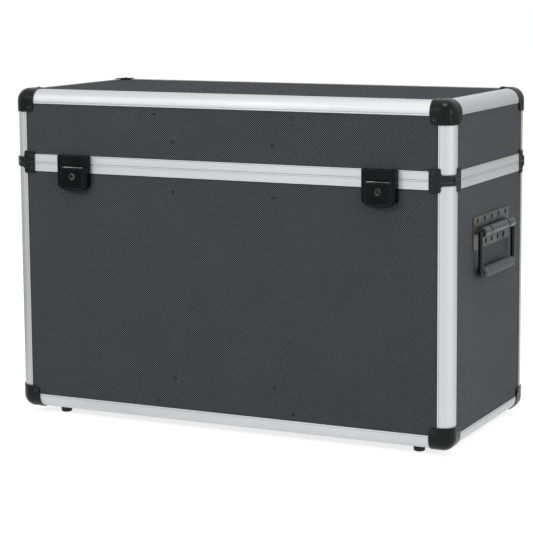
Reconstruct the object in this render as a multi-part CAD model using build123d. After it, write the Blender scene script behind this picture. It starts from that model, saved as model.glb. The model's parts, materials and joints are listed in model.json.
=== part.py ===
from build123d import *
import os

# Lighting fixture flight case: laminated panels held in rounded double-channel
# aluminium rails, a lid on two rear hinges, two draw latches and two bail handles.
# Millimetres. +Z is up, X is the width, the front faces -Y. The origin is the middle
# of the footprint, at the plane that the feet stand on.

# Overall sizes
case_width = 800.0
case_depth = 354.0
case_height = 553.0
foot_height = 12.0
parting_height = 429.3
lid_gap = 0.5

# Aluminium rails: outer leg, outer corner radius, wall and panel slot
rail_leg = 23.6
rail_radius = 19.5
rail_wall = 1.5
slot_depth = 8.0
panel_thickness = 7.0
panel_play = 0.2
edge_play = 0.3

# Rims at the parting line, with a tongue below and a groove above
body_rim_height = 15.4
lid_rim_height = 13.7
tongue_base = 3.0
tongue_tip = 2.0
tongue_height = 3.5
tongue_clearance = 0.4
rim_line_width = 0.8
rim_line_depth = 0.5
rim_line_offset = 2.2

# Corner caps and the brackets at the parting line
cap_thickness = 1.8
cap_leg = 38.0
cap_lobe = 13.2
cap_lobe_radius = 6.5
bracket_front_wing = 38.8
bracket_side_wing = 34.0
bracket_inner_edge = 19.0
bracket_strip = 8.5
bracket_rise = 19.3
bracket_round = 4.0
bracket_rib_low = 3.6
bracket_rib_high = 7.2
bracket_rib_proud = 1.0
bracket_notch_height = 1.6
bracket_notch_depth = 1.0

# Rivets
rivet_radius = 3.2
rivet_rise = 1.5
cap_rivet_inset = 30.5
bracket_rivet_front = 32.8
bracket_rivet_side = 28.5
bracket_rivet_height = 10.5
divider_rivet_low = 75.0
divider_rivet_drop = 40.2
lid_divider_rivet_share = 0.34722
angle_rivet_inset = 34.3

# Inside: dividers in channels, angles at floor and lid, foam pads
divider_position = 92.0
divider_thickness = 7.0
divider_drop = 31.0
lid_divider_rise = 19.0
channel_wall = 1.5
channel_depth = 10.0
divider_play = 0.3
rail_play = 0.6
angle_position = 126.0
angle_leg = 32.0
angle_upright = 20.0
angle_width = 25.0
angle_wall = 2.0
foam_thickness = 25.0
foam_gap = 1.0

# Feet
foot_inset_x = 68.0
foot_inset_y = 38.0
foot_radius = 10.5
foot_taper = 1.5
foot_edge_round = 2.0
foot_recess_radius = 5.5
foot_recess_depth = 7.0
screw_head_radius = 4.5
screw_head_height = 2.6
screw_radius = 2.2
screw_clearance = 0.15
screw_grip = 4.5

# Side handles: plate, rolled barrel, bail rod and grip, with heights from the barrel
handle_position = 5.0
handle_plate_width = 171.0
handle_plate_below = 28.0
handle_plate_above = 25.0
handle_plate_thickness = 2.0
handle_corner_round = 4.0
handle_hole_radius = 4.5
handle_hole_count = 5
handle_upper_pitch = 33.5
handle_lower_pitch = 28.7
handle_upper_row = 17.8
handle_lower_row = 19.3
barrel_drop = 93.3
barrel_radius = 8.0
barrel_width = 145.0
barrel_slot = 4.5
barrel_slot_position = 42.0
barrel_standoff = 3.5
barrel_web_half = 3.5
bail_radius = 4.0
bail_clearance = 0.3
bail_half_width = 79.0
bail_drop = 66.0
bail_bend = 7.0
bail_end = 22.0
grip_radius = 9.0
grip_length = 140.0
grip_clearance = 0.1
grip_end_round = 4.0

# Latches: outline of the cover, flap lever, pivots and lock, with heights from the
# parting line, the pivot or the flap's lower edge
latch_position = 280.3
latch_half_width = 30.0
latch_front_half_width = 28.6
latch_depth = 12.3
latch_rise = 14.4
latch_top_arch = 1.2
latch_side_step = 4.7
latch_corner_x = 20.5
latch_corner_drop = 2.0
latch_bottom_drop = 4.5
latch_wall = 2.3
latch_back_gap = 0.4
flap_half_width = 20.6
flap_reach = 33.0
flap_thickness = 2.5
flap_gap = 0.4
pivot_drop = 8.0
pivot_out = 6.5
knuckle_radius = 5.3
knuckle_ring = 0.5
knuckle_ring_width = 5.0
knuckle_ring_pitch = 12.0
pivot_pin_radius = 1.5
pin_clearance = 0.1
link_drop = 8.0
link_out = 5.5
link_radius = 1.25
link_boss_radius = 3.2
link_boss_start = 24.4
link_end = 26.0
cheek_thickness = 2.0
cheek_drop = 4.0
cheek_back = 3.5
ear_start = 21.6
ear_thickness = 2.5
ear_half_height = 3.5
ear_reach = 9.5
base_half_width = 26.0
base_rise = 7.5
base_drop = 6.5
base_thickness = 2.0
keeper_half_width = 20.0
keeper_rise = 2.0
keeper_height = 10.0
keeper_out = 4.0
keeper_clearance = 0.8
lock_drop = 12.6
lock_radius = 5.9
lock_proud = 0.5
lock_back = 4.2
lock_clearance = 0.1
cam_length = 12.0
cam_tail = 4.0
cam_width = 6.0
cam_thickness = 1.5
keyway_width = 1.3
keyway_height = 6.5
keyway_depth = 4.0

# Rear hinges
hinge_position = 250.0
hinge_width = 60.0
hinge_leaf = 2.0
hinge_leaf_height = 40.0
hinge_axis_out = 6.0
hinge_barrel_radius = 5.0
hinge_pin_radius = 2.5
hinge_pin_clearance = 0.1
hinge_knuckle_gap = 0.4
hinge_middle_share = 0.36
hinge_relief = 0.4
hinge_step_gap = 0.4
hinge_step_bend = 0.6

# Places worked out from the sizes above
half_width = case_width / 2
half_depth = case_depth / 2
floor_z = foot_height
top_z = foot_height + case_height
middle_z = foot_height + case_height / 2
parting_z = foot_height + parting_height
slot_width = panel_thickness + panel_play
rail_depth = 2 * rail_wall + slot_width
slot_floor = rail_leg - slot_depth
panel_edge = slot_floor + edge_play
inner_face = rail_wall + panel_thickness
panel_face = rail_wall
body_panel_top = parting_z - body_rim_height + slot_depth - edge_play
lid_panel_bottom = parting_z + lid_rim_height - slot_depth + edge_play
foot_position_x = half_width - foot_inset_x
foot_position_y = half_depth - foot_inset_y
barrel_height = parting_height - barrel_drop
lid_rim_top = parting_height + lid_rim_height
lid_panel_height = case_height - rail_leg - lid_rim_top
lid_divider_rivet = lid_rim_top + lid_divider_rivet_share * lid_panel_height
divider_top = parting_height - divider_drop
lid_divider_bottom = parting_height + lid_divider_rise
pivot_height = parting_height - pivot_drop
link_height = pivot_height - link_drop
lock_height = pivot_height - lock_drop
flap_bottom = pivot_height - flap_reach
latch_top = parting_height + latch_rise
latch_bottom = flap_bottom - latch_bottom_drop
corner = Pos(-half_width, -half_depth, floor_z)
middle_plane = Plane.XY.offset(middle_z)
axis_vector = {"x": Vector(1, 0, 0), "y": Vector(0, 1, 0), "z": Vector(0, 0, 1)}
corner_point = Vector(-half_width, -half_depth, floor_z)
low_align = (Align.MIN, Align.MIN)


def block(low, high):
    """A box between two opposite corners."""
    size = [b - a for a, b in zip(low, high)]
    return Pos(*low) * Box(*size, align=(Align.MIN, Align.MIN, Align.MIN))


def left_right(solids):
    return solids + [mirror(s, about=Plane.YZ) for s in solids]


def front_back(solids):
    return solids + [mirror(s, about=Plane.XZ) for s in solids]


def four_corners(solids):
    return front_back(left_right(solids))


def upside_down(solids):
    return [mirror(s, about=middle_plane) for s in solids]


def save(name, solids):
    """Write one node, which may hold several separate solids."""
    shape = solids[0] if len(solids) == 1 else Compound(children=solids)
    export_step(shape, f"parts/{name}.step")


def rail_section():
    """Rounded outer corner, one panel slot in each leg and a hollow core."""
    outline = Rectangle(rail_leg, rail_leg, align=low_align)
    outline = fillet(outline.vertices().sort_by_distance((0, 0, 0))[0], rail_radius)
    inside = Pos(rail_depth, rail_depth) * Rectangle(rail_leg, rail_leg, align=low_align)
    slot_y = Pos(rail_wall, slot_floor) * Rectangle(slot_width, rail_leg, align=low_align)
    slot_x = Pos(slot_floor, rail_wall) * Rectangle(rail_leg, slot_width, align=low_align)
    core_edge = slot_floor - rail_wall
    core = Pos(rail_radius, rail_radius) * Circle(rail_radius - rail_wall)
    core = core & Rectangle(core_edge, core_edge, align=low_align)
    core_step = rail_depth - rail_wall
    core = core - Pos(core_step, core_step) * Rectangle(rail_leg, rail_leg, align=low_align)
    line = rail_leg - rim_line_offset - rim_line_width
    line_x = Pos(line, 0) * Rectangle(rim_line_width, rim_line_depth, align=low_align)
    line_y = Pos(0, line) * Rectangle(rim_line_depth, rim_line_width, align=low_align)
    return outline - inside - slot_x - slot_y - core - line_x - line_y


def mitre_tool(along, other):
    """Everything nearer to the corner along one axis than along the other."""
    reach = rail_leg + 1
    x_dir = axis_vector[along]
    z_dir = x_dir.cross(axis_vector[other])
    plane = Plane(origin=corner_point, x_dir=x_dir, z_dir=z_dir)
    triangle = make_face(Polyline((0, 0), (0, reach), (reach, reach), close=True))
    return extrude(plane * triangle, amount=reach, both=True)


def ball_tool():
    """What a square corner has outside the ball shape under the corner cap."""
    ball = rounded_corner_block(cap_leg, 0)
    return corner * (block((-1, -1, -1), (rail_leg, rail_leg, rail_leg)) - ball)


def width_rail():
    plane = Plane(origin=corner_point, x_dir=axis_vector["y"], z_dir=axis_vector["x"])
    rail = extrude(plane * rail_section(), amount=case_width)
    for tool in (mitre_tool("x", "y"), mitre_tool("x", "z"), ball_tool()):
        rail = rail - tool - mirror(tool, about=Plane.YZ)
    return rail


def depth_rail():
    plane = Plane(origin=corner_point, x_dir=axis_vector["z"], z_dir=axis_vector["y"])
    rail = extrude(plane * rail_section(), amount=case_depth)
    for tool in (mitre_tool("y", "x"), mitre_tool("y", "z"), ball_tool()):
        rail = rail - tool - mirror(tool, about=Plane.XZ)
    return rail


def post(length):
    plane = Plane(origin=corner_point, x_dir=axis_vector["x"], z_dir=axis_vector["z"])
    rail = extrude(plane * rail_section(), amount=length)
    return rail - mitre_tool("z", "x") - mitre_tool("z", "y") - ball_tool()


def body_rim_section():
    """Slot for the panel's upper edge, and the tongue that locates the lid."""
    height = body_rim_height - lid_gap / 2
    bar = Pos(0, -body_rim_height) * Rectangle(rail_depth, height, align=low_align)
    slot = Pos(rail_wall, -body_rim_height) * Rectangle(slot_width, slot_depth, align=low_align)
    centre = rail_depth / 2
    tip = tongue_height - lid_gap / 2
    tongue = make_face(Polyline(
        (centre - tongue_base / 2, -lid_gap / 2), (centre + tongue_base / 2, -lid_gap / 2),
        (centre + tongue_tip / 2, tip), (centre - tongue_tip / 2, tip), close=True))
    line = Pos(0, -rim_line_offset - rim_line_width) * Rectangle(
        rim_line_depth, rim_line_width, align=low_align)
    return bar - slot - line + tongue


def lid_rim_section():
    """Slot for the lid panel's lower edge, and the groove over the tongue."""
    bar = Pos(0, lid_gap / 2) * Rectangle(
        rail_depth, lid_rim_height - lid_gap / 2, align=low_align)
    slot = Pos(rail_wall, lid_rim_height - slot_depth) * Rectangle(
        slot_width, slot_depth, align=low_align)
    groove_width = tongue_base + 2 * tongue_clearance
    groove = Pos(rail_depth / 2 - groove_width / 2, lid_gap / 2) * Rectangle(
        groove_width, tongue_height, align=low_align)
    line = Pos(0, lid_rim_height - rim_line_offset) * Rectangle(
        rim_line_depth, rim_line_width, align=low_align)
    return bar - slot - groove - line


def front_rim(section):
    origin = (-half_width + rail_leg, -half_depth, parting_z)
    plane = Plane(origin=origin, x_dir=(0, 1, 0), z_dir=(1, 0, 0))
    return extrude(plane * section, amount=case_width - 2 * rail_leg)


def side_rim(section):
    origin = (-half_width, half_depth - rail_leg, parting_z)
    plane = Plane(origin=origin, x_dir=(1, 0, 0), z_dir=(0, -1, 0))
    return extrude(plane * section, amount=case_depth - 2 * rail_leg)


def wall_panel_front(low, high):
    edge = half_width - panel_edge
    return block((-edge, -half_depth + panel_face, low), (edge, -half_depth + inner_face, high))


def wall_panel_side(low, high):
    edge = half_depth - panel_edge
    return block((-half_width + panel_face, -edge, low), (-half_width + inner_face, edge, high))


def floor_panel():
    edge_x = half_width - panel_edge
    edge_y = half_depth - panel_edge
    panel = block((-edge_x, -edge_y, floor_z + panel_face), (edge_x, edge_y, floor_z + inner_face))
    hole = Pos(-foot_position_x, -foot_position_y, floor_z) * Cylinder(
        screw_radius + screw_clearance, 2 * (panel_face + screw_grip))
    for cut in four_corners([hole]):
        panel = panel - cut
    return panel


def top_panel():
    edge_x = half_width - panel_edge
    edge_y = half_depth - panel_edge
    return block((-edge_x, -edge_y, top_z - inner_face), (edge_x, edge_y, top_z - panel_face))


def rounded_corner_block(size, offset):
    """A block at the local corner whose three outer edges are rounded."""
    solid = block((-offset, -offset, -offset), (size, size, size))
    edges = [e for e in solid.edges() if sum(abs(c + offset) < 0.01 for c in e.center()) == 2]
    return fillet(edges, rail_radius + offset)


def corner_cap():
    """Ball-cornered cap over three rails, with a riveted lobe on each face."""
    shell = rounded_corner_block(cap_leg, cap_thickness)
    shell = shell - rounded_corner_block(cap_leg + 1, 0)
    reach = cap_leg - rail_leg
    window = Pos(rail_leg, rail_leg) * Rectangle(reach + 1, reach + 1, align=low_align)
    lobe = Pos(rail_leg, rail_leg) * Rectangle(cap_lobe, cap_lobe, align=low_align)
    lobe = fillet(lobe.vertices().sort_by_distance((cap_leg, cap_leg, 0))[0], cap_lobe_radius)
    pad = extrude(lobe, amount=panel_face)
    cut = extrude(window - lobe, amount=2 * cap_thickness, both=True)
    # The same face outline serves the three faces that meet in the corner.
    diagonal = Axis((0, 0, 0), (1, 1, 1))
    for turn in (0, 120, 240):
        shell = shell - cut.rotate(diagonal, turn) + pad.rotate(diagonal, turn)
    return corner * shell


def quarter_ring(low, high, proud):
    """Strip around the rounded vertical corner between two heights."""
    reach = bracket_inner_edge + 1
    outer = Pos(-proud, -proud) * Rectangle(reach + proud, reach + proud, align=low_align)
    outer = fillet(outer.vertices().sort_by_distance((-proud, -proud, 0))[0], rail_radius + proud)
    inner = Rectangle(reach + 1, reach + 1, align=low_align)
    inner = fillet(inner.vertices().sort_by_distance((0, 0, 0))[0], rail_radius)
    return Pos(0, 0, low) * extrude(outer - inner, amount=high - low)


def bracket_wing(length):
    """Flat wing: riveted plate with an S-shaped step down to the strip."""
    step = bracket_inner_edge
    inner = step - 2 * bracket_round
    outline = make_face(Polyline(
        (inner, 0), (length, 0), (length, bracket_rise), (step, bracket_rise),
        (step, bracket_strip), (inner, bracket_strip), close=True))
    corners = outline.vertices()
    rounded = [v for v in corners if v.Y > bracket_strip + 1]
    rounded = rounded + [v for v in corners if abs(v.X - step) + abs(v.Y - bracket_strip) < 0.01]
    return fillet(rounded, bracket_round)


def corner_bracket():
    """Bracket on one vertical corner, from the parting line upwards."""
    start = lid_gap / 2
    notch_top = start + bracket_notch_height
    ring = quarter_ring(start, notch_top, cap_thickness - bracket_notch_depth)
    ring = ring + quarter_ring(notch_top, bracket_strip, cap_thickness)
    ring = ring + quarter_ring(bracket_rib_low, bracket_rib_high,
                               cap_thickness + bracket_rib_proud)
    on_front = Plane(origin=(0, 0, 0), x_dir=(1, 0, 0), z_dir=(0, -1, 0))
    on_side = Plane(origin=(0, 0, 0), x_dir=(0, 1, 0), z_dir=(1, 0, 0))
    front = extrude(on_front * bracket_wing(bracket_front_wing), amount=cap_thickness)
    side = extrude(on_side * bracket_wing(bracket_side_wing), amount=-cap_thickness)
    below = block((-half_width, -half_width, -bracket_rise), (half_width, half_width, start))
    return ring + front + side - below


def body_bracket():
    flipped = mirror(corner_bracket(), about=Plane.XY)
    return Pos(-half_width, -half_depth, parting_z) * flipped


def lid_bracket():
    return Pos(-half_width, -half_depth, parting_z) * corner_bracket()


def rivet_head():
    """Domed head that stands on its flat side, with +Z outwards."""
    dome_radius = (rivet_radius ** 2 + rivet_rise ** 2) / (2 * rivet_rise)
    dome = Pos(0, 0, rivet_rise - dome_radius) * Sphere(dome_radius)
    below = Pos(0, 0, -2 * dome_radius) * Cylinder(
        2 * dome_radius, 2 * dome_radius, align=(Align.CENTER, Align.CENTER, Align.MIN))
    return dome - below


def rivet_on_front(x, height, out):
    return Pos(x, -half_depth - out, floor_z + height) * Rot(90, 0, 0) * rivet_head()


def rivet_on_side(y, height, out):
    return Pos(-half_width - out, y, floor_z + height) * Rot(0, -90, 0) * rivet_head()


def cap_rivets():
    """The three rivets of the cap at the lower front left corner."""
    inset = cap_rivet_inset
    below = Pos(-half_width + inset, -half_depth + inset, floor_z - cap_thickness)
    return [rivet_on_front(-half_width + inset, inset, cap_thickness),
            rivet_on_side(-half_depth + inset, inset, cap_thickness),
            below * Rot(180, 0, 0) * rivet_head()]


def bracket_rivets(height):
    """One rivet in each wing of a bracket, at a height on its rim."""
    return [rivet_on_front(-half_width + bracket_rivet_front, height, cap_thickness),
            rivet_on_side(-half_depth + bracket_rivet_side, height, cap_thickness)]


def body_rivets():
    corner_set = cap_rivets() + bracket_rivets(parting_height - bracket_rivet_height)
    for x, height in ((-divider_position, divider_rivet_low),
                      (-divider_position, parting_height - divider_rivet_drop),
                      (-angle_position, angle_rivet_inset)):
        corner_set.append(rivet_on_front(x, height, -panel_face))
    return four_corners(corner_set)


def lid_rivets():
    corner_set = upside_down(cap_rivets())
    corner_set = corner_set + bracket_rivets(parting_height + bracket_rivet_height)
    for x, height in ((-divider_position, lid_divider_rivet),
                      (-angle_position, case_height - angle_rivet_inset)):
        corner_set.append(rivet_on_front(x, height, -panel_face))
    return four_corners(corner_set)


def divider_channel(low, high):
    """U channel on the inner face of the front wall, open to the rear."""
    inner_y = -half_depth + inner_face
    half = divider_thickness / 2 + divider_play + channel_wall
    solid = block((-divider_position - half, inner_y, low),
                  (-divider_position + half, inner_y + channel_depth, high))
    room = divider_thickness / 2 + divider_play
    slot = block((-divider_position - room, inner_y + channel_wall, low - 1),
                 (-divider_position + room, inner_y + channel_depth + 1, high + 1))
    return solid - slot


def divider(low, high):
    edge = half_depth - inner_face - channel_wall - divider_play
    half = divider_thickness / 2
    return block((-divider_position - half, -edge, low), (-divider_position + half, edge, high))


def angle_bracket():
    """Angle just above the floor rail, riveted to the front wall."""
    y = -half_depth + inner_face
    z = floor_z + rail_leg + rail_play
    left = -angle_position - angle_width / 2
    right = left + angle_width
    upright = block((left, y, z), (right, y + angle_wall, z + angle_upright))
    return upright + block((left, y, z), (right, y + angle_leg, z + angle_wall))


def foam_pads(bottom):
    """Three pads between walls and dividers, cut out around the angles and channels."""
    top = bottom + foam_thickness
    half_y = half_depth - rail_leg - foam_gap
    channel_half = divider_thickness / 2 + divider_play + channel_wall + foam_gap
    inner_x = divider_position - channel_half
    outer_x = half_width - rail_leg - foam_gap
    centre = block((-inner_x, -half_y, bottom), (inner_x, half_y, top))
    side = block((-outer_x, -half_y, bottom), (-divider_position - channel_half, half_y, top))
    pocket_half = angle_width / 2 + foam_gap
    pocket = block((-angle_position - pocket_half, -half_depth, bottom - 1),
                   (-angle_position + pocket_half,
                    -half_depth + inner_face + angle_leg + foam_gap, top + 1))
    for cut in front_back([pocket]):
        side = side - cut
    return [centre] + left_right([side])


def foot():
    """Tapered rubber foot with a rounded tread and a recess for its screw."""
    height = foot_height + panel_face
    profile = Cone(foot_radius - foot_taper, foot_radius, height,
                   align=(Align.CENTER, Align.CENTER, Align.MIN))
    profile = fillet(profile.edges().sort_by(Axis.Z)[0], foot_edge_round)
    recess = Cylinder(foot_recess_radius, foot_recess_depth,
                      align=(Align.CENTER, Align.CENTER, Align.MIN))
    bore = Cylinder(screw_radius + screw_clearance, height,
                    align=(Align.CENTER, Align.CENTER, Align.MIN))
    return Pos(-foot_position_x, -foot_position_y, 0) * (profile - recess - bore)


def foot_screw():
    head = Pos(0, 0, foot_recess_depth - screw_head_height) * Cylinder(
        screw_head_radius, screw_head_height, align=(Align.CENTER, Align.CENTER, Align.MIN))
    end = foot_height + panel_face + screw_grip
    shank = Pos(0, 0, foot_recess_depth) * Cylinder(
        screw_radius, end - foot_recess_depth, align=(Align.CENTER, Align.CENTER, Align.MIN))
    return Pos(-foot_position_x, -foot_position_y, 0) * (head + shank)


# Side handles, modelled on the right side and mirrored to the left
handle_face = half_width - panel_face
barrel_x = handle_face + barrel_standoff + barrel_radius
barrel_z = floor_z + barrel_height
barrel_axis = Pos(barrel_x, handle_position, barrel_z) * Rot(90, 0, 0)


def handle_plate():
    """Pressed plate with two rows of holes and a barrel in three lengths on a web."""
    plane = Plane(origin=(handle_face, handle_position, barrel_z), x_dir=(0, 1, 0), z_dir=(1, 0, 0))
    height = handle_plate_below + handle_plate_above
    face = Pos(0, handle_plate_above - height / 2) * RectangleRounded(
        handle_plate_width, height, handle_corner_round)
    rows = ((handle_upper_row, handle_upper_pitch), (-handle_lower_row, handle_lower_pitch))
    for row, pitch in rows:
        for i in range(handle_hole_count):
            y = (i - (handle_hole_count - 1) / 2) * pitch
            face = face - Pos(y, row) * Circle(handle_hole_radius)
    plate = extrude(plane * face, amount=handle_plate_thickness)
    barrel = barrel_axis * Cylinder(barrel_radius, barrel_width)
    barrel = barrel + Pos(0, handle_position, 0) * block(
        (handle_face, -barrel_width / 2, barrel_z - barrel_web_half),
        (barrel_x, barrel_width / 2, barrel_z + barrel_web_half))
    ring = barrel_axis * Cylinder(barrel_radius + 1, barrel_slot)
    keep = block((0, -half_depth, 0), (handle_face + handle_plate_thickness, half_depth, top_z))
    for side in (-1, 1):
        cut = Pos(0, side * barrel_slot_position, 0) * ring
        barrel = barrel - (cut - keep)
    bore = barrel_axis * Cylinder(bail_radius + bail_clearance, handle_plate_width)
    return plate + barrel - bore


def bail():
    """Round rod bent to a U, with its ends turned into the barrel."""
    side = bail_half_width
    points = [(-bail_end, 0), (-side, 0), (-side, -bail_drop), (side, -bail_drop),
              (side, 0), (bail_end, 0)]
    plane = Plane(origin=(barrel_x, handle_position, barrel_z), x_dir=(0, 1, 0), z_dir=(1, 0, 0))
    path = FilletPolyline(*[plane.from_local_coords((a, b)) for a, b in points],
                          radius=bail_bend)
    section = Plane(origin=path @ 0, z_dir=path % 0) * Circle(bail_radius)
    return sweep(section, path=path)


def grip():
    """Round-ended sleeve on the bail's lower run."""
    sleeve = Cylinder(grip_radius, grip_length)
    sleeve = fillet(sleeve.edges().filter_by(GeomType.CIRCLE), grip_end_round)
    sleeve = sleeve - Cylinder(bail_radius + grip_clearance, grip_length + 1)
    return Pos(0, 0, -bail_drop) * barrel_axis * sleeve


# Latches, modelled at x = 0 on the front and moved to their places
front_plane = Plane(origin=(0, -half_depth, floor_z), x_dir=(1, 0, 0), z_dir=(0, -1, 0))


def out_block(x_low, x_high, out_low, out_high, z_low, z_high):
    """A box given by its reach out of the front face and its heights on the case."""
    return block((x_low, -half_depth - out_high, floor_z + z_low),
                 (x_high, -half_depth - out_low, floor_z + z_high))


def cross_rod(radius, x_low, x_high, out, height):
    place = Pos((x_low + x_high) / 2, -half_depth - out, floor_z + height)
    return place * Rot(0, 90, 0) * Cylinder(radius, x_high - x_low)


def latch_outline(inset):
    """Cover outline: arched top, straight sides, cut corners and a curved bottom."""
    side = latch_half_width - inset
    low_x = latch_corner_x - inset / 2
    low_z = flap_bottom - latch_corner_drop + inset
    top = latch_top - inset
    side_low = flap_bottom + latch_side_step + inset / 2
    edges = [
        Line((-side, side_low), (-side, top)),
        ThreePointArc((-side, top), (0, top + latch_top_arch), (side, top)),
        Line((side, top), (side, side_low)),
        Line((side, side_low), (low_x, low_z)),
        ThreePointArc((low_x, low_z), (0, latch_bottom + inset), (-low_x, low_z)),
        Line((-low_x, low_z), (-side, side_low)),
    ]
    return make_face(edges)


def latch_flare(inset):
    """Prism whose sides lean in towards the front of the latch."""
    back = latch_half_width - inset
    front = latch_front_half_width - inset
    outline = make_face(Polyline((-back, 0), (back, 0), (front, -latch_depth),
                                 (-front, -latch_depth), close=True))
    low = floor_z + latch_bottom - latch_depth
    height = latch_top - latch_bottom + 2 * latch_depth
    return extrude(Pos(0, -half_depth, low) * outline, amount=height)


def latch_cover():
    """Moulded claw: a hollow frame around the flap, closed above the keeper."""
    outer = extrude(front_plane * latch_outline(0), amount=latch_depth) & latch_flare(0)
    front_y = -half_depth - latch_depth
    rim = [e for e in outer.edges() if abs(e.center().Y - front_y) < 0.01]
    outer = fillet(rim, latch_wall)
    hollow = extrude(front_plane * latch_outline(latch_wall), amount=latch_depth - flap_thickness)
    hollow = hollow & latch_flare(latch_wall)
    cover = outer - hollow
    for side in (-1, 1):
        ends = sorted((side * link_boss_start, side * (latch_half_width - latch_wall)))
        boss = cross_rod(link_boss_radius, ends[0], ends[1], link_out, link_height)
        cover = cover + (boss & latch_flare(0))
        ends = sorted((side * (link_boss_start - 1), side * (link_end + pin_clearance)))
        cover = cover - cross_rod(link_radius + pin_clearance, ends[0], ends[1],
                                  link_out, link_height)
    flap_room = flap_half_width + flap_gap
    flap_top = pivot_height + knuckle_radius + knuckle_ring + flap_gap
    cover = cover - out_block(-flap_room, flap_room, -1, latch_depth + 1,
                              flap_bottom - flap_gap, flap_top)
    keeper_room = keeper_half_width + keeper_clearance
    cover = cover - out_block(-keeper_room, keeper_room, -1, keeper_out + keeper_clearance,
                              flap_bottom, latch_top + latch_top_arch + 1)
    back = out_block(-latch_half_width, latch_half_width, -1, latch_back_gap,
                     latch_bottom - 1, latch_top + latch_top_arch + 1)
    return cover - back


def latch_lever():
    """Flap that lifts from below, with a scalloped knuckle and two link studs."""
    half = flap_half_width
    plate = out_block(-half, half, latch_depth - flap_thickness, latch_depth,
                      flap_bottom, pivot_height)
    lever = plate + cross_rod(knuckle_radius + knuckle_ring, -half, half, pivot_out, pivot_height)
    for i in range(-2, 2):
        centre = (i + 0.5) * knuckle_ring_pitch
        span = (knuckle_ring_pitch - knuckle_ring_width) / 2
        ring = cross_rod(knuckle_radius + 2 * knuckle_ring, centre - span, centre + span,
                         pivot_out, pivot_height)
        ring = ring - cross_rod(knuckle_radius, -half, half, pivot_out, pivot_height)
        lever = lever - (ring - plate)
    for side in (-1, 1):
        ends = sorted((side * (half - cheek_thickness), side * half))
        lever = lever + out_block(ends[0], ends[1], cheek_back, latch_depth - flap_thickness,
                                  link_height - cheek_drop, pivot_height)
        ends = sorted((side * (half - cheek_thickness), side * link_end))
        lever = lever + cross_rod(link_radius, ends[0], ends[1], link_out, link_height)
    lever = lever - cross_rod(pivot_pin_radius + pin_clearance, -half - 1, half + 1,
                              pivot_out, pivot_height)
    hole = Pos(0, -half_depth - latch_depth, floor_z + lock_height) * Rot(90, 0, 0)
    return lever - hole * Cylinder(lock_radius + lock_clearance, 3 * flap_thickness)


def latch_base():
    """Base plate on the wall with two ears for the pivot pin."""
    base_top = pivot_height - base_drop
    base_bottom = flap_bottom + base_rise
    plate = out_block(-base_half_width, base_half_width, 0, base_thickness, base_bottom, base_top)
    below_rim = parting_height - body_rim_height
    plate = plate + out_block(-base_half_width, base_half_width, -panel_face, 0,
                              base_bottom, below_rim)
    for side in (-1, 1):
        ends = sorted((side * ear_start, side * (ear_start + ear_thickness)))
        ear = out_block(ends[0], ends[1], 0, base_thickness, base_top - 1,
                        pivot_height + ear_half_height)
        ear = ear + out_block(ends[0], ends[1], 0, ear_reach - ear_half_height,
                              pivot_height - ear_half_height, pivot_height + ear_half_height)
        ear = ear + cross_rod(ear_half_height, ends[0], ends[1],
                              ear_reach - ear_half_height, pivot_height)
        plate = plate + ear
    return plate - cross_rod(pivot_pin_radius + pin_clearance, -base_half_width,
                             base_half_width, pivot_out, pivot_height)


def latch_pin():
    end = ear_start + ear_thickness
    return cross_rod(pivot_pin_radius, -end, end, pivot_out, pivot_height)


def latch_lock():
    """Key lock with a keyway in its face and a cam behind the flap."""
    length = latch_depth + lock_proud - lock_back
    place = Pos(0, -half_depth - lock_back - length / 2, floor_z + lock_height) * Rot(90, 0, 0)
    lock = place * Cylinder(lock_radius, length)
    cam = out_block(-cam_tail, cam_length, lock_back - cam_thickness, lock_back,
                    lock_height - cam_width / 2, lock_height + cam_width / 2)
    front = latch_depth + lock_proud
    keyway = out_block(-keyway_width / 2, keyway_width / 2, front - keyway_depth, front + 1,
                       lock_height - keyway_height / 2, lock_height + keyway_height / 2)
    return lock + cam - keyway


def latch_keeper():
    """Catch on the lid rim, sloped on top, that the claw draws down on."""
    low = parting_z + keeper_rise
    high = low + keeper_height
    y = -half_depth
    outline = make_face(Polyline((y, low), (y - keeper_out, low), (y - keeper_out, high - keeper_out),
                                 (y, high), close=True))
    plane = Plane(origin=(-keeper_half_width, 0, 0), x_dir=(0, 1, 0), z_dir=(1, 0, 0))
    return extrude(plane * outline, amount=2 * keeper_half_width)


# Rear hinges, modelled at x = 0 and moved to their places
hinge_y = half_depth + hinge_axis_out
middle_half = hinge_width * hinge_middle_share / 2


def hinge_leaf_plate():
    """Joggled leaf above the parting line: on the rim, then down onto the panel."""
    y = half_depth
    z = parting_z
    step_low = z + lid_rim_height + hinge_step_gap
    step_high = step_low + panel_face
    top = z + hinge_leaf_height
    outline = make_face(Polyline(
        (y, z + lid_gap / 2), (y + hinge_leaf, z + lid_gap / 2), (y + hinge_leaf, step_low),
        (y + hinge_leaf - panel_face, step_high + hinge_step_bend),
        (y + hinge_leaf - panel_face, top),
        (y - panel_face, top), (y - panel_face, step_high), (y, step_low), close=True))
    plane = Plane(origin=(-hinge_width / 2, 0, 0), x_dir=(0, 1, 0), z_dir=(1, 0, 0))
    return extrude(plane * outline, amount=hinge_width)


def hinge_rod(radius, x_low, x_high):
    return Pos((x_low + x_high) / 2, hinge_y, parting_z) * Rot(0, 90, 0) * Cylinder(
        radius, x_high - x_low)


def lid_hinge_leaf():
    gap = hinge_knuckle_gap
    leaf = hinge_leaf_plate()
    for low, high in ((-hinge_width / 2 - 1, -middle_half + gap / 2),
                      (middle_half - gap / 2, hinge_width / 2 + 1)):
        leaf = leaf - hinge_rod(hinge_barrel_radius + hinge_relief, low, high)
    leaf = leaf + hinge_rod(hinge_barrel_radius, -middle_half + gap / 2, middle_half - gap / 2)
    return leaf - hinge_rod(hinge_pin_radius + hinge_pin_clearance, -hinge_width, hinge_width)


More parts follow.
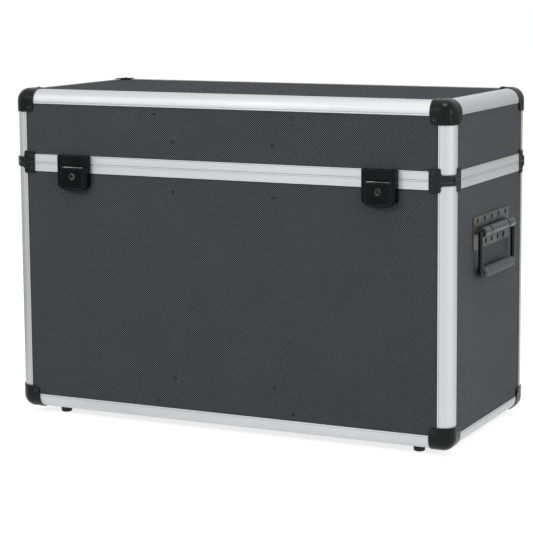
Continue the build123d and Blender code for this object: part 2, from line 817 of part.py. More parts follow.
def body_hinge_leaf():
    gap = hinge_knuckle_gap
    leaf = mirror(hinge_leaf_plate(), about=Plane.XY.offset(parting_z))
    drop = body_rim_height - lid_rim_height
    leaf = Pos(0, 0, -drop) * leaf
    top = parting_z - lid_gap / 2
    leaf = leaf + block((-hinge_width / 2, half_depth, top - drop - 1),
                        (hinge_width / 2, half_depth + hinge_leaf, top))
    leaf = leaf - hinge_rod(hinge_barrel_radius + hinge_relief,
                            -middle_half - gap / 2, middle_half + gap / 2)
    for low, high in ((-hinge_width / 2, -middle_half - gap / 2),
                      (middle_half + gap / 2, hinge_width / 2)):
        leaf = leaf + hinge_rod(hinge_barrel_radius, low, high)
    return leaf - hinge_rod(hinge_pin_radius + hinge_pin_clearance, -hinge_width, hinge_width)


def hinge_pin():
    return hinge_rod(hinge_pin_radius, -hinge_width / 2, hinge_width / 2)


def build_frame():
    long_rail = width_rail()
    short_rail = depth_rail()
    save("bottom_front_rail", [long_rail])
    save("bottom_back_rail", [mirror(long_rail, about=Plane.XZ)])
    save("bottom_side_rails", left_right([short_rail]))
    upper = upside_down([long_rail])[0]
    save("top_front_rail", [upper])
    save("top_back_rail", [mirror(upper, about=Plane.XZ)])
    save("top_side_rails", left_right(upside_down([short_rail])))
    save("body_posts", four_corners([post(parting_height - lid_gap / 2)]))
    lid_post = post(case_height - parting_height - lid_gap / 2)
    save("lid_posts", four_corners(upside_down([lid_post])))
    for name, section in (("body", body_rim_section()), ("lid", lid_rim_section())):
        front = front_rim(section)
        save(f"{name}_front_rim", [front])
        save(f"{name}_back_rim", [mirror(front, about=Plane.XZ)])
        save(f"{name}_side_rims", left_right([side_rim(section)]))


def build_panels():
    low = floor_z + panel_edge
    high = top_z - panel_edge
    for name, z_low, z_high in (("body", low, body_panel_top), ("lid", lid_panel_bottom, high)):
        front = wall_panel_front(z_low, z_high)
        save(f"{name}_front_panel", [front])
        save(f"{name}_back_panel", [mirror(front, about=Plane.XZ)])
        left = wall_panel_side(z_low, z_high)
        save(f"{name}_left_panel", [left])
        save(f"{name}_right_panel", [mirror(left, about=Plane.YZ)])
    save("body_floor_panel", [floor_panel()])
    save("lid_top_panel", [top_panel()])


def build_corners():
    cap = corner_cap()
    save("bottom_corner_caps", four_corners([cap]))
    save("top_corner_caps", four_corners(upside_down([cap])))
    save("body_corner_brackets", four_corners([body_bracket()]))
    save("lid_corner_brackets", four_corners([lid_bracket()]))
    save("body_rivets", body_rivets())
    save("lid_rivets", lid_rivets())
    save("feet", four_corners([foot()]))
    save("foot_screws", four_corners([foot_screw()]))


def build_inside():
    floor = floor_z + inner_face
    ceiling = top_z - inner_face
    above_rail = floor_z + rail_leg + rail_play
    below_rail = top_z - rail_leg - rail_play
    body_channel = divider_channel(above_rail, floor_z + divider_top)
    lid_channel = divider_channel(floor_z + lid_divider_bottom, below_rail)
    save("body_divider_channels", four_corners([body_channel]))
    save("lid_divider_channels", four_corners([lid_channel]))
    save("body_dividers", left_right([divider(floor_z + rail_depth, floor_z + divider_top)]))
    save("lid_dividers", left_right([divider(floor_z + lid_divider_bottom,
                                           top_z - rail_depth)]))
    save("body_angle_brackets", four_corners([angle_bracket()]))
    save("lid_angle_brackets", four_corners(upside_down([angle_bracket()])))
    save("floor_foam", foam_pads(floor))
    save("lid_foam", foam_pads(ceiling - foam_thickness))


def build_handles():
    for name, make in (("plate", handle_plate), ("bail", bail), ("grip", grip)):
        right = make()
        save(f"right_handle_{name}", [right])
        save(f"left_handle_{name}", [mirror(right, about=Plane.YZ)])


def build_latches():
    pieces = (("cover", latch_cover), ("lever", latch_lever), ("base", latch_base),
              ("lock", latch_lock))
    for piece, make in pieces:
        solid = make()
        save(f"left_latch_{piece}", [Pos(-latch_position, 0, 0) * solid])
        save(f"right_latch_{piece}", [Pos(latch_position, 0, 0) * solid])
    save("latch_pins", left_right([Pos(-latch_position, 0, 0) * latch_pin()]))
    save("latch_keepers", left_right([Pos(-latch_position, 0, 0) * latch_keeper()]))


def build_hinges():
    place = Pos(-hinge_position, 0, 0)
    save("body_hinge_leaves", left_right([place * body_hinge_leaf()]))
    save("lid_hinge_leaves", left_right([place * lid_hinge_leaf()]))
    save("hinge_pins", left_right([place * hinge_pin()]))


os.makedirs("parts", exist_ok=True)
build_frame()
build_panels()
build_corners()
build_inside()
build_handles()
build_latches()
build_hinges()
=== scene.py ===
import json
import math
import bmesh
import bpy
from mathutils import Matrix, Vector


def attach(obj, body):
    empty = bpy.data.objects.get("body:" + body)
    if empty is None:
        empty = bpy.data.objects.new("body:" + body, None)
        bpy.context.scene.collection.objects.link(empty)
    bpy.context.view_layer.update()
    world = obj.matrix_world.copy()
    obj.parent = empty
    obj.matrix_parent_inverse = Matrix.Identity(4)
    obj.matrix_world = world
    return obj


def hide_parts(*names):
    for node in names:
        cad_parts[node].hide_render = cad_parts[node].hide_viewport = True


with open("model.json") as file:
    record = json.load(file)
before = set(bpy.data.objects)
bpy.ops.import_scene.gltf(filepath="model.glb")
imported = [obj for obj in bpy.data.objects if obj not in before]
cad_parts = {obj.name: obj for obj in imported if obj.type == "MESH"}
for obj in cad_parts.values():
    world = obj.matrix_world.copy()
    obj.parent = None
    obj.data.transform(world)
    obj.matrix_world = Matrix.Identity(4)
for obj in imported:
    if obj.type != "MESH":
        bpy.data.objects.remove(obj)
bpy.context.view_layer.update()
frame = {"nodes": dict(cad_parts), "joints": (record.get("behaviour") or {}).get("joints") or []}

# A lighting fixture flight case: laminated panels in aluminium rails, black corner
# hardware, two key-locking draw latches and two bail handles. Metres, +Z up.
# The front faces -Y.

nodes_by_name = frame["nodes"]
joint_places = {joint["name"]: joint["pos_m"] for joint in frame["joints"]}

# Camera: place, turn in radians, focal length and sensor in mm, and the shift that the
# photograph's off-centre crop needs, as a share of its side in pixels
camera_place = (1.402923, -2.846782, 0.768510)
camera_yaw = -0.4355691
camera_pitch = -0.1330619
camera_roll = -0.0043893
camera_lens = 125.529
camera_sensor = 36.0
picture_side = 533
camera_shift = (-45 / picture_side, -50 / picture_side)
far_limit = 50

# Laminate: spacing of its oval raised dots, half their length and width, and how far
# they stand out
dot_pitch = 0.0037
dot_half_length = 0.00135
dot_half_width = 0.00052
dot_relief = 0.0001

# Latches: how far above the hinge the knuckle's painted highlight line stands, half that line's
# height and its soft edge, and the inner and outer radius of the key lock's plated ring
knuckle_height = joint_places["right_flap_hinge"][2]
lock_side, _, lock_height = joint_places["right_lock_turn"]
knuckle_highlight_height = knuckle_height + 0.0029
knuckle_highlight_half = 0.0003
knuckle_highlight_end = 0.0007
lock_ring_inner = 0.0039
lock_ring_outer = 0.0052
lock_ring_blur = 0.0004

# Divider boards: spacing of a dark and a light layer of the plywood
ply_pitch = 0.0028

# Foam pads: grid step, edge rounding, crown and the room round the angle brackets
foam_step = 0.008
foam_round = 0.005
foam_inset = 0.0008
foam_crown = 0.0015
foam_pocket_room = 0.0014
same_place = 1e-6

# Colours: the darker and the lighter tone of each finish
metal_tones = (0.555, 0.56, 0.57), (0.60, 0.605, 0.61)
# One laminate in three copies: painted light makes the side tones lighter, and the top and floor
# tones darker, than the front ones
front_tones = (0.002, 0.0022, 0.0024), (0.222, 0.237, 0.247)
side_tones_painted_lighter = (0.010, 0.011, 0.013), (0.315, 0.336, 0.358)
top_tones_painted_darker = (0.003, 0.0035, 0.0045), (0.105, 0.115, 0.133)
board_tones = (0.03, 0.032, 0.036), (0.075, 0.078, 0.085)
flap_tones = (0.0035, 0.0047, 0.0050), (0.006, 0.0075, 0.008)
handle_tones = (0.070, 0.072, 0.075), (0.110, 0.113, 0.116)
bail_tones = (0.004, 0.0045, 0.005), (0.008, 0.0085, 0.009)
zinc_tones = (0.40, 0.40, 0.41), (0.55, 0.55, 0.54)
foam_tones = (0.022, 0.023, 0.025), (0.036, 0.037, 0.040)
ply_light, ply_dark, ply_grain = (0.50, 0.34, 0.19), (0.30, 0.18, 0.09), (0.20, 0.11, 0.05)

# Colours: one tone each, what wear and dust add, painted highlights on edges and on the knuckle,
# and painted shade where surfaces meet
cap_colour = (0.003, 0.0035, 0.0040)
bracket_colour = (0.006, 0.0075, 0.0090)
cover_colour = (0.0020, 0.0034, 0.0038)
rivet_colour = (0.002, 0.002, 0.0025)
lock_core = (0.004, 0.0045, 0.005)
lock_plating = (0.24, 0.24, 0.235)
foot_colour = (0.018, 0.018, 0.019)
grip_colour = (0.095, 0.097, 0.100)
foam_struts = (0.11, 0.112, 0.12)
edge_wear_and_highlight = (0.15, 0.165, 0.175)
knuckle_highlight_colour = (0.70, 0.70, 0.67)
panel_dust = (0.13, 0.135, 0.145)
metal_painted_shade = (0.10, 0.102, 0.105)
panel_painted_shade = (0.004, 0.004, 0.005)
steel_painted_shade = (0.002, 0.002, 0.002)

# Studio: the plain light on the case, and the floor's reach, its grey under the lamps and
# the glow that shows it as white
world_level = 0.6
floor_reach = 12.0
floor_grey = (0.45, 0.45, 0.45, 1)
floor_glow = 0.8

# Cards: glow at the foot and at the top, the two ends of the foot, and the height
cards = (("left_card", 0.25, 1.0, (-0.78, -1.0), (-0.78, 0.6), 0.8),
         ("back_card", 0.20, 1.0, (-6.0, 2.4), (3.4, 2.4), 2.4))

# Lamps: place, width and height, and power in watts, all aimed at one place in the case
lamp_target = (0, 0, 0.3)
lamps = (("key_lamp", (-1.7, -3.0, 2.2), (0.5, 0.5), 32),
         ("side_lamp", (2.6, -0.9, 0.9), (0.4, 0.9), 9),
         ("top_lamp", (0.5, -0.7, 2.7), (1.0, 0.8), 18))


class Shader:
    """A material under construction, with its principled shader and short node calls."""

    def __init__(self, name, colour, roughness, metallic=0.0, ior=1.5):
        self.material = bpy.data.materials.new(name)
        self.material.use_nodes = True
        self.tree = self.material.node_tree
        self.shader = self.tree.nodes["Principled BSDF"]
        self.shader.inputs["Base Color"].default_value = (*colour, 1)
        self.shader.inputs["Roughness"].default_value = roughness
        self.shader.inputs["Metallic"].default_value = metallic
        self.shader.inputs["IOR"].default_value = ior
        self.coordinates = self.add("ShaderNodeTexCoord").outputs["Object"]

    def add(self, kind, **settings):
        node = self.tree.nodes.new(kind)
        for key, value in settings.items():
            setattr(node, key, value)
        return node

    def connect(self, source, target):
        self.tree.links.new(source, target)

    def put(self, target, value):
        """Give an input either a constant or another node's output."""
        if isinstance(value, bpy.types.NodeSocket):
            self.connect(value, target)
        elif target.type == "RGBA":
            target.default_value = (*value, 1)
        else:
            target.default_value = value

    def stretched(self, scale):
        """The object's own coordinates with a scale for each axis."""
        mapping = self.add("ShaderNodeMapping")
        mapping.inputs["Scale"].default_value = scale
        self.connect(self.coordinates, mapping.inputs["Vector"])
        return mapping.outputs["Vector"]

    def noise(self, scale, detail, vector=None):
        node = self.add("ShaderNodeTexNoise")
        node.inputs["Scale"].default_value = scale
        node.inputs["Detail"].default_value = detail
        self.connect(vector or self.coordinates, node.inputs["Vector"])
        return node.outputs["Fac"]

    def math(self, operation, first, second=0.0, third=0.0):
        node = self.add("ShaderNodeMath", operation=operation)
        for place, value in enumerate((first, second, third)):
            self.put(node.inputs[place], value)
        return node.outputs[0]

    def spread(self, value, low, high, to_low=0.0, to_high=1.0):
        """A smooth step from one value to another as the input goes from low to high."""
        node = self.add("ShaderNodeMapRange", interpolation_type="SMOOTHSTEP")
        self.put(node.inputs["Value"], value)
        for key, number in (("From Min", low), ("From Max", high),
                            ("To Min", to_low), ("To Max", to_high)):
            node.inputs[key].default_value = number
        return node.outputs["Result"]

    def blend(self, share, first, second):
        """The first colour, with that share of the second."""
        node = self.add("ShaderNodeMix", data_type="RGBA")
        factor, first_colour, second_colour = (node.inputs[place] for place in (0, 6, 7))
        self.put(factor, share)
        self.put(first_colour, first)
        self.put(second_colour, second)
        return node.outputs[2]

    def split(self, vector):
        node = self.add("ShaderNodeSeparateXYZ")
        self.connect(vector, node.inputs[0])
        return node.outputs

    def normal(self):
        return self.add("ShaderNodeNewGeometry").outputs["Normal"]

    def soft_edges(self, radius):
        node = self.add("ShaderNodeBevel", samples=6)
        node.inputs["Radius"].default_value = radius
        return node.outputs["Normal"]

    def worn_and_highlit_edges(self, radius):
        """A mask for wear and a painted highlight on edges: 1 where a sharp edge lies within that
        many metres, and 0 on open faces.
        """
        node = self.add("ShaderNodeVectorMath", operation="DOT_PRODUCT")
        self.connect(self.soft_edges(radius), node.inputs[0])
        self.connect(self.normal(), node.inputs[1])
        return self.spread(node.outputs["Value"], 0.90, 0.995, 1.0, 0.0)

    def painted_corner_shade(self, reach, least):
        """A mask for painted shade: 1 in the open, and down to the least where surfaces meet
        within that reach.
        """
        node = self.add("ShaderNodeAmbientOcclusion", samples=6)
        node.inputs["Distance"].default_value = reach
        return self.spread(node.outputs["AO"], 0.25, 0.85, least, 1.0)

    def relief(self, height, distance, under=None):
        """Bump of that many metres, on top of another normal if one is given."""
        node = self.add("ShaderNodeBump")
        node.inputs["Distance"].default_value = distance
        node.inputs["Strength"].default_value = 1.0
        self.connect(height, node.inputs["Height"])
        if under is not None:
            self.connect(under, node.inputs["Normal"])
        return node.outputs["Normal"]

    def finish(self, colour, normal, roughness=None, metallic=None):
        """Connect what varies over the surface, and hand over the material."""
        for key, value in (("Base Color", colour), ("Normal", normal),
                           ("Roughness", roughness), ("Metallic", metallic)):
            if value is not None:
                self.connect(value, self.shader.inputs[key])
        return self.material


def rail_material(name, along):
    """Satin anodised extrusion with faint lines along its length."""
    look = Shader(name, metal_tones[1], 0.59, metallic=1.0)
    scales = [900.0, 900.0, 900.0]
    scales["xyz".index(along)] = 3.0
    lines = look.noise(1.0, 2.0, look.stretched(scales))
    cloud = look.noise(6.0, 3.0)
    tone = look.math("MULTIPLY_ADD", lines, 0.5, look.math("MULTIPLY", cloud, 0.5))
    metal = look.blend(look.spread(tone, 0.3, 0.7), *metal_tones)
    # Painted shade darkens the metal where it meets other parts
    return look.finish(colour=look.blend(look.painted_corner_shade(0.004, 0.55), metal_painted_shade, metal),
                       roughness=look.spread(tone, 0.3, 0.7, 0.62, 0.56),
                       normal=look.relief(lines, 0.00001, under=look.soft_edges(0.0006)))


def dots(look, across, up):
    """Height of oval dots in staggered rows, each leaning up to the right, from 0 to 1."""
    nearest = None
    for shift in (0.0, 0.5):
        offsets = []
        for coordinate in (across, up):
            turn = look.math("MULTIPLY_ADD", coordinate, 1 / dot_pitch, shift)
            offsets.append(look.math("SUBTRACT", look.math("FRACT", turn), 0.5))
        lean = dot_pitch * math.sqrt(0.5)
        length_share = look.math("MULTIPLY", look.math("ADD", *offsets), lean / dot_half_length)
        width_share = look.math("MULTIPLY", look.math("SUBTRACT", *offsets), lean / dot_half_width)
        squares = look.math("ADD", look.math("MULTIPLY", length_share, length_share),
                            look.math("MULTIPLY", width_share, width_share))
        nearest = squares if nearest is None else look.math("MINIMUM", nearest, squares)
    return look.spread(look.math("SQRT", nearest), 0.6, 1.35, 1.0, 0.0)


def panel_material(name, across, up, tones):
    """Dark laminate with raised dots over the plane of two axes."""
    look = Shader(name, tones[0], 0.6, ior=1.12)
    axes = look.split(look.coordinates)
    height = dots(look, axes["xyz".index(across)], axes["xyz".index(up)])
    dust = look.spread(look.noise(14.0, 4.0), 0.35, 0.75, 0.0, 0.06)
    speck = look.noise(420.0, 2.0)
    shade = look.blend(dust, look.blend(height, *tones), panel_dust)
    grain = look.math("ADD", height, look.math("MULTIPLY", speck, 0.1))
    # Painted shade darkens the laminate where it meets the rails and other parts
    return look.finish(colour=look.blend(look.painted_corner_shade(0.006, 0.35), panel_painted_shade, shade),
                       roughness=look.spread(speck, 0.3, 0.7, 0.52, 0.66),
                       normal=look.relief(grain, dot_relief))


def plastic_material(name, colour, roughness, ior, grain=0.00003, edge=0.0008):
    """Moulded plastic with a fine grain, and lighter on its edges, with wear and a painted
    highlight.
    """
    look = Shader(name, colour, roughness, ior=ior)
    pebble = look.noise(1400.0, 2.0)
    cloud = look.noise(35.0, 3.0)
    lighter = tuple(1.7 * channel + 0.002 for channel in colour)
    plastic = look.blend(look.spread(cloud, 0.35, 0.75, 0.0, 0.6), colour, lighter)
    # Lighter edges: wear, and a painted highlight along them
    lighter_share = look.math("MULTIPLY", look.worn_and_highlit_edges(edge),
                       look.spread(cloud, 0.3, 0.6, 0.3, 0.8))
    return look.finish(colour=look.blend(lighter_share, plastic, edge_wear_and_highlight),
                       roughness=look.spread(cloud, 0.3, 0.7, roughness - 0.05, roughness + 0.07),
                       normal=look.relief(pebble, grain, under=look.soft_edges(edge)))


def steel_material(name, tones, roughness, metallic, ior=1.5):
    """Plated or painted steel with soft cloudy variation and fine scratches."""
    look = Shader(name, tones[0], roughness, metallic=metallic, ior=ior)
    cloud = look.noise(60.0, 4.0)
    scratch = look.noise(1.0, 3.0, look.stretched((300.0, 40.0, 900.0)))
    tone = look.math("MULTIPLY_ADD", scratch, 0.35, look.math("MULTIPLY", cloud, 0.65))
    paint = look.blend(look.spread(tone, 0.32, 0.68), *tones)
    # Painted shade darkens the steel in its slots and where it meets other parts
    return look.finish(colour=look.blend(look.painted_corner_shade(0.006, 0.1), steel_painted_shade, paint),
                       roughness=look.spread(tone, 0.3, 0.7, roughness + 0.06, roughness - 0.06),
                       normal=look.relief(scratch, 0.00002, under=look.soft_edges(0.0004)))


def flap_material():
    """The latch flap's plastic, with a painted highlight line along its knuckle."""
    look = Shader("flap_black", flap_tones[0], 0.26, ior=1.17)
    pebble = look.noise(1400.0, 2.0)
    cloud = look.noise(35.0, 3.0)
    highlight_breaks = look.noise(75.0, 1.0)
    height = look.split(look.coordinates)[2]
    from_line = look.math("ABSOLUTE", look.math("SUBTRACT", height, knuckle_highlight_height))
    on_highlight_line = look.math("MULTIPLY",
                        look.spread(from_line, knuckle_highlight_half, knuckle_highlight_end, 1.0, 0.0),
                        look.spread(highlight_breaks, 0.35, 0.62, 0.25, 1.0))
    plastic = look.blend(look.spread(cloud, 0.35, 0.75, 0.0, 0.6), *flap_tones)
    # Lighter edges: wear, and a painted highlight along them
    plastic = look.blend(look.math("MULTIPLY", look.worn_and_highlit_edges(0.0007), 0.3), plastic,
                         edge_wear_and_highlight)
    # Painted highlight: a bright broken line along the top of the knuckle
    colour = look.blend(look.math("MULTIPLY", on_highlight_line, 0.9), plastic, knuckle_highlight_colour)
    return look.finish(colour=colour,
                       normal=look.relief(pebble, 0.00003, under=look.soft_edges(0.0006)))


def lock_material():
    """Key lock: a dark core in a plated ring that is worn in places."""
    look = Shader("lock_ring", lock_core, 0.28, ior=1.4)
    axes = look.split(look.coordinates)
    aside = look.math("SUBTRACT", look.math("ABSOLUTE", axes[0]), lock_side)
    above = look.math("SUBTRACT", axes[2], lock_height)
    radius = look.math("SQRT", look.math("ADD", look.math("MULTIPLY", aside, aside),
                                         look.math("MULTIPLY", above, above)))
    ring = look.math("MULTIPLY",
                     look.spread(radius, lock_ring_inner - lock_ring_blur,
                                 lock_ring_inner + lock_ring_blur),
                     look.spread(radius, lock_ring_outer - lock_ring_blur / 2,
                                 lock_ring_outer + lock_ring_blur, 1.0, 0.0))
    lighter_share = look.math("MULTIPLY", ring,
                       look.spread(look.noise(120.0, 1.0), 0.46, 0.60, 0.0, 0.8))
    return look.finish(colour=look.blend(lighter_share, lock_core, lock_plating), metallic=lighter_share,
                       normal=look.soft_edges(0.0007))


def ply_material():
    """Laminated divider board: dark faces, and bare layered plywood on its edges."""
    look = Shader("divider_board", board_tones[0], 0.55)
    axes = look.split(look.coordinates)
    facing = look.split(look.normal())
    layers = look.math("SINE", look.math("MULTIPLY", axes[0], 2 * math.pi / ply_pitch))
    grain = look.noise(1.0, 4.0, look.stretched((500.0, 25.0, 25.0)))
    wood = look.blend(look.spread(layers, -0.3, 0.3), ply_light, ply_dark)
    wood = look.blend(look.math("MULTIPLY", grain, 0.35), wood, ply_grain)
    on_face = look.spread(look.math("ABSOLUTE", facing[0]), 0.4, 0.6)
    height = dots(look, axes[1], axes[2])
    face = look.blend(height, *board_tones)
    return look.finish(colour=look.blend(on_face, wood, face),
                       normal=look.relief(look.math("MULTIPLY", height, on_face), 0.00015))


def foam_material():
    """Charcoal open-cell foam: a fine crust of cells with lighter struts."""
    look = Shader("charcoal_foam", foam_tones[1], 0.95, ior=1.15)
    look.shader.inputs["Sheen Weight"].default_value = 0.25
    look.shader.inputs["Sheen Roughness"].default_value = 0.6
    cells = look.add("ShaderNodeTexVoronoi", feature="DISTANCE_TO_EDGE")
    cells.inputs["Scale"].default_value = 700.0
    look.connect(look.coordinates, cells.inputs["Vector"])
    struts = look.spread(cells.outputs["Distance"], 0.02, 0.22, 1.0, 0.0)
    body = look.blend(look.spread(look.noise(24.0, 4.0), 0.3, 0.7), *foam_tones)
    return look.finish(colour=look.blend(look.math("MULTIPLY", struts, 0.55), body, foam_struts),
                       normal=look.relief(struts, 0.0005))


def rubber_material(name, colour):
    """Matt rubber with a little dust."""
    look = Shader(name, colour, 0.62, ior=1.4)
    pebble = look.noise(900.0, 3.0)
    dust = look.spread(look.noise(30.0, 3.0), 0.4, 0.8, 0.0, 0.5)
    lighter = tuple(1.6 * channel + 0.01 for channel in colour)
    return look.finish(colour=look.blend(dust, colour, lighter),
                       normal=look.relief(pebble, 0.00008, under=look.soft_edges(0.0006)))


def paint_node(node, material):
    mesh = nodes_by_name[node].data
    mesh.materials.clear()
    mesh.materials.append(material)
    for face in mesh.polygons:
        face.material_index = 0


def paint_nodes():
    """Give every CAD node its finish, by what its name says it is."""
    rail_x = rail_material("aluminium_along_x", "x")
    rail_y = rail_material("aluminium_along_y", "y")
    rail_z = rail_material("aluminium_along_z", "z")
    # One laminate in three copies: the side one painted lighter and the top one painted darker for
    # how light falls on them
    laminate_front = panel_material("laminate_front", "x", "z", front_tones)
    laminate_side_painted_lighter = panel_material("laminate_side_painted_lighter", "y", "z", side_tones_painted_lighter)
    laminate_top_painted_darker = panel_material("laminate_top_painted_darker", "x", "y", top_tones_painted_darker)
    cap_black = plastic_material("cap_black", cap_colour, 0.22, 1.28)
    bracket_black = plastic_material("bracket_black", bracket_colour, 0.20, 1.32)
    cover_black = plastic_material("latch_black", cover_colour, 0.22, 1.2, edge=0.0006)
    rivet_black = plastic_material("rivet_black", rivet_colour, 0.12, 1.4, grain=0.00001,
                                   edge=0.0002)
    flap_black = flap_material()
    lock_steel = lock_material()
    handle_black = steel_material("handle_black", handle_tones, 0.38, 0.2)
    bail_black = steel_material("bail_black", bail_tones, 0.15, 0.0, ior=1.32)
    zinc = steel_material("zinc_plate", zinc_tones, 0.34, 1.0)
    board = ply_material()
    foot_black = rubber_material("foot_black", foot_colour)
    grip_black = rubber_material("grip_black", grip_colour)
    endings = (
        ("front_rail", rail_x), ("back_rail", rail_x), ("side_rails", rail_y), ("posts", rail_z),
        ("front_rim", rail_x), ("back_rim", rail_x), ("side_rims", rail_y),
        ("divider_channels", rail_z),
        ("front_panel", laminate_front), ("back_panel", laminate_front),
        ("left_panel", laminate_side_painted_lighter), ("right_panel", laminate_side_painted_lighter),
        ("floor_panel", laminate_top_painted_darker), ("top_panel", laminate_top_painted_darker),
        ("corner_caps", cap_black), ("corner_brackets", bracket_black),
        ("rivets", rivet_black), ("handle_plate", handle_black), ("handle_bail", bail_black),
        ("handle_grip", grip_black), ("latch_cover", cover_black), ("latch_lever", flap_black),
        ("latch_lock", lock_steel), ("latch_base", handle_black), ("latch_pins", zinc),
        ("latch_keepers", handle_black), ("hinge_leaves", handle_black), ("hinge_pins", zinc),
        ("angle_brackets", zinc), ("foot_screws", zinc), ("feet", foot_black),
        ("dividers", board), ("foam", foot_black),
    )
    for name in nodes_by_name:
        paint_node(name, next(material for ending, material in endings if name.endswith(ending)))


def new_piece(name, mesh, material, body):
    piece = bpy.data.objects.new(name, mesh)
    bpy.context.scene.collection.objects.link(piece)
    mesh.materials.append(material)
    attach(piece, body)
    return piece


def islands(node):
    """The lowest and highest corners of each separate solid in a node, left to right."""
    mesh = bmesh.new()
    mesh.from_mesh(nodes_by_name[node].data)
    bmesh.ops.remove_doubles(mesh, verts=mesh.verts, dist=same_place)
    boxes, seen = [], set()
    for start in mesh.verts:
        if start.index in seen:
            continue
        group, front = [], [start]
        seen.add(start.index)
        while front:
            vert = front.pop()
            group.append(vert.co.copy())
            for edge in vert.link_edges:
                other = edge.other_vert(vert)
                if other.index not in seen:
                    seen.add(other.index)
                    front.append(other)
        low = Vector([min(place[axis] for place in group) for axis in range(3)])
        high = Vector([max(place[axis] for place in group) for axis in range(3)])
        boxes.append((low, high))
    mesh.free()
    return sorted(boxes, key=lambda box: box[0].x)


def grid_lines(low, high, stops):
    """Evenly spaced places from low to high that include the given stops."""
    marks = [low] + sorted(stop for stop in stops if low < stop < high) + [high]
    lines = []
    for start, end in zip(marks, marks[1:]):
        count = max(1, round((end - start) / foam_step))
        lines += [start + (end - start) * step / count for step in range(count)]
    return lines + [high]


def in_pocket(x, y, pockets):
    return any(low.x < x < high.x and low.y < y < high.y for low, high in pockets)


def foam_faces(mesh, low, high, pockets):
    """Add a pad's faces on a grid, with the pockets cut out."""
    xs = grid_lines(low.x, high.x, [corner.x for box in pockets for corner in box])
    ys = grid_lines(low.y, high.y, [corner.y for box in pockets for corner in box])
    layers = (low.z, low.z + foam_round, (low.z + high.z) / 2, high.z - foam_round, high.z)
    last = len(layers) - 1
    points = {}

    def point(i, j, k):
        if (i, j, k) not in points:
            points[i, j, k] = mesh.verts.new((xs[i], ys[j], layers[k]))
        return points[i, j, k]

    def filled(i, j):
        if not (0 <= i < len(xs) - 1 and 0 <= j < len(ys) - 1):
            return False
        return not in_pocket((xs[i] + xs[i + 1]) / 2, (ys[j] + ys[j + 1]) / 2, pockets)

    for i in range(len(xs) - 1):
        for j in range(len(ys) - 1):
            if not filled(i, j):
                continue
            mesh.faces.new([point(i, j, last), point(i + 1, j, last),
                            point(i + 1, j + 1, last), point(i, j + 1, last)])
            mesh.faces.new([point(i, j + 1, 0), point(i + 1, j + 1, 0),
                            point(i + 1, j, 0), point(i, j, 0)])
            sides = (((i, j), (i + 1, j), (i, j - 1)), ((i + 1, j), (i + 1, j + 1), (i + 1, j)),
                     ((i + 1, j + 1), (i, j + 1), (i, j + 1)), ((i, j + 1), (i, j), (i - 1, j)))
            for start, end, beyond in sides:
                if filled(*beyond):
                    continue
                for k in range(last):
                    mesh.faces.new([point(*start, k), point(*end, k),
                                    point(*end, k + 1), point(*start, k + 1)])
    mesh.normal_update()


def shape_foam(mesh, low, high, face_up):
    """Pull the edges in a little and let the face swell between them."""
    middle = (low + high) / 2
    half = (high - low) / 2
    face_z = high.z if face_up else low.z
    moves = {}
    for vert in mesh.verts:
        outward = sum((face.normal for face in vert.link_faces), Vector((0, 0, 0)))
        share_x = (vert.co.x - middle.x) / half.x
        share_y = (vert.co.y - middle.y) / half.y
        swell = (1 - share_x ** 4) * (1 - share_y ** 4)
        drop = foam_crown * (1 - swell) if abs(vert.co.z - face_z) < same_place else 0.0
        flat = Vector((outward.x, outward.y, 0))
        pull = flat.normalized() * -foam_inset if flat.length > 0.1 else Vector((0, 0, 0))
        pull.z = -drop if face_up else drop
        moves[vert] = pull
    for vert, pull in moves.items():
        vert.co += pull


def foam_pad(name, low, high, pockets, face_up, material, body, node):
    """A foam pad with rounded edges and a slight crown, cut out round the angles."""
    mesh = bmesh.new()
    foam_faces(mesh, low, high, pockets)
    shape_foam(mesh, low, high, face_up)
    data = bpy.data.meshes.new(name)
    mesh.to_mesh(data)
    mesh.free()
    for face in data.polygons:
        face.use_smooth = True
    piece = new_piece(name, data, material, body)
    smooth = piece.modifiers.new("smooth", "SUBSURF")
    smooth.levels = smooth.render_levels = 1
    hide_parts(node)


def foam_pads():
    """Three pads on the floor and three under the lid, in place of the CAD's blocks."""
    material = foam_material()
    names = ("left", "centre", "right")
    sets = (("floor", "floor_foam", "body_angle_brackets", "case_body", True),
            ("lid", "lid_foam", "lid_angle_brackets", "lid", False))
    room = Vector((foam_pocket_room, foam_pocket_room, 0))
    for place, node, angles, body, face_up in sets:
        pockets = []
        for low, high in islands(angles):
            low, high = low - room, high + room
            # The cut runs on past the pad's edge
            if high.y < 0:
                low.y -= 1
            else:
                high.y += 1
            pockets.append((low, high))
        for name, (low, high) in zip(names, islands(node)):
            mine = [box for box in pockets if box[0].x < high.x and box[1].x > low.x]
            foam_pad(f"{place}_{name}_foam_pad", low, high, mine, face_up, material, body, node)


def set_camera():
    data = bpy.data.cameras.new("camera")
    data.sensor_width = camera_sensor
    data.lens = camera_lens
    data.shift_x, data.shift_y = camera_shift
    data.clip_end = far_limit
    camera = bpy.data.objects.new("camera", data)
    bpy.context.scene.collection.objects.link(camera)
    ahead = Vector((math.sin(camera_yaw) * math.cos(camera_pitch),
                    math.cos(camera_yaw) * math.cos(camera_pitch), math.sin(camera_pitch)))
    right = Vector((math.cos(camera_yaw), -math.sin(camera_yaw), 0))
    up = right.cross(ahead)
    turned_right = right * math.cos(camera_roll) + up * math.sin(camera_roll)
    turned_up = up * math.cos(camera_roll) - right * math.sin(camera_roll)
    turn = Matrix((turned_right, turned_up, -ahead)).transposed().to_4x4()
    camera.matrix_world = Matrix.Translation(camera_place) @ turn
    bpy.context.scene.camera = camera


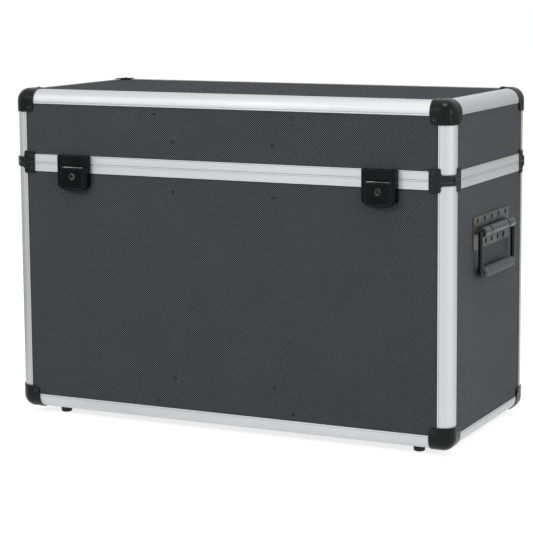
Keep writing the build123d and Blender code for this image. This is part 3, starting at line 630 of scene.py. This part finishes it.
def seen_rays(tree):
    """1 for rays from the camera, from gloss and through glass, and 0 for the others."""
    path = tree.nodes.new("ShaderNodeLightPath")
    total = path.outputs["Is Camera Ray"]
    for name in ("Is Glossy Ray", "Is Transmission Ray"):
        node = tree.nodes.new("ShaderNodeMath")
        node.operation = "MAXIMUM"
        tree.links.new(total, node.inputs[0])
        tree.links.new(path.outputs[name], node.inputs[1])
        total = node.outputs[0]
    return total


def graded(tree, source, low, high, top=1.0):
    """From low to high as the source goes from 0 to the top."""
    node = tree.nodes.new("ShaderNodeMapRange")
    tree.links.new(source, node.inputs["Value"])
    node.inputs["From Max"].default_value = top
    node.inputs["To Min"].default_value = low
    node.inputs["To Max"].default_value = high
    return node.outputs["Result"]


def set_world():
    """Plain light on the case, and white behind it."""
    world = bpy.data.worlds.new("studio")
    bpy.context.scene.world = world
    world.use_nodes = True
    tree = world.node_tree
    background = tree.nodes["Background"]
    background.inputs["Color"].default_value = (1, 1, 1, 1)
    tree.links.new(graded(tree, seen_rays(tree), world_level, 1.0),
                   background.inputs["Strength"])


def glowing_sheet(name, corners):
    """A four-cornered sheet, its node tree and its glow, which isn't connected yet."""
    mesh = bpy.data.meshes.new(name)
    mesh.from_pydata(corners, [], [(0, 1, 2, 3)])
    sheet = bpy.data.objects.new(name, mesh)
    bpy.context.scene.collection.objects.link(sheet)
    material = bpy.data.materials.new(name)
    material.use_nodes = True
    mesh.materials.append(material)
    tree = material.node_tree
    tree.nodes.remove(tree.nodes["Principled BSDF"])
    return sheet, tree, tree.nodes.new("ShaderNodeEmission")


def set_floor():
    """A pale floor that shows as white and still takes the case's shadow."""
    reach = floor_reach
    floor, tree, glow = glowing_sheet("floor", [(-reach, -reach, 0), (reach, -reach, 0),
                                                (reach, reach, 0), (-reach, reach, 0)])
    tree.links.new(graded(tree, seen_rays(tree), 0.0, floor_glow), glow.inputs["Strength"])
    diffuse = tree.nodes.new("ShaderNodeBsdfDiffuse")
    diffuse.inputs["Color"].default_value = floor_grey
    both = tree.nodes.new("ShaderNodeAddShader")
    tree.links.new(diffuse.outputs[0], both.inputs[0])
    tree.links.new(glow.outputs[0], both.inputs[1])
    tree.links.new(both.outputs[0], tree.nodes["Material Output"].inputs["Surface"])


def add_card(name, low, high, start, end, top):
    """A card on the floor, seen only by gloss, that gets lighter from its foot to its top."""
    card, tree, glow = glowing_sheet(name, [(*start, 0), (*end, 0), (*end, top), (*start, top)])
    place = tree.nodes.new("ShaderNodeTexCoord")
    split = tree.nodes.new("ShaderNodeSeparateXYZ")
    tree.links.new(place.outputs["Object"], split.inputs[0])
    tree.links.new(graded(tree, split.outputs["Z"], low, high, top), glow.inputs["Strength"])
    tree.links.new(glow.outputs[0], tree.nodes["Material Output"].inputs["Surface"])
    card.visible_camera = False
    card.visible_diffuse = False
    card.visible_shadow = False


def add_lamp(name, place, size, power):
    data = bpy.data.lights.new(name, "AREA")
    data.shape = "RECTANGLE"
    data.size, data.size_y = size
    data.energy = power
    lamp = bpy.data.objects.new(name, data)
    bpy.context.scene.collection.objects.link(lamp)
    lamp.location = place
    aim = Vector(lamp_target) - Vector(place)
    lamp.rotation_euler = aim.to_track_quat("-Z", "Y").to_euler()


def set_studio():
    bpy.context.scene.view_settings.view_transform = "Standard"
    set_world()
    set_floor()
    for card in cards:
        add_card(*card)
    for lamp in lamps:
        add_lamp(*lamp)


set_camera()
set_studio()
paint_nodes()
foam_pads()
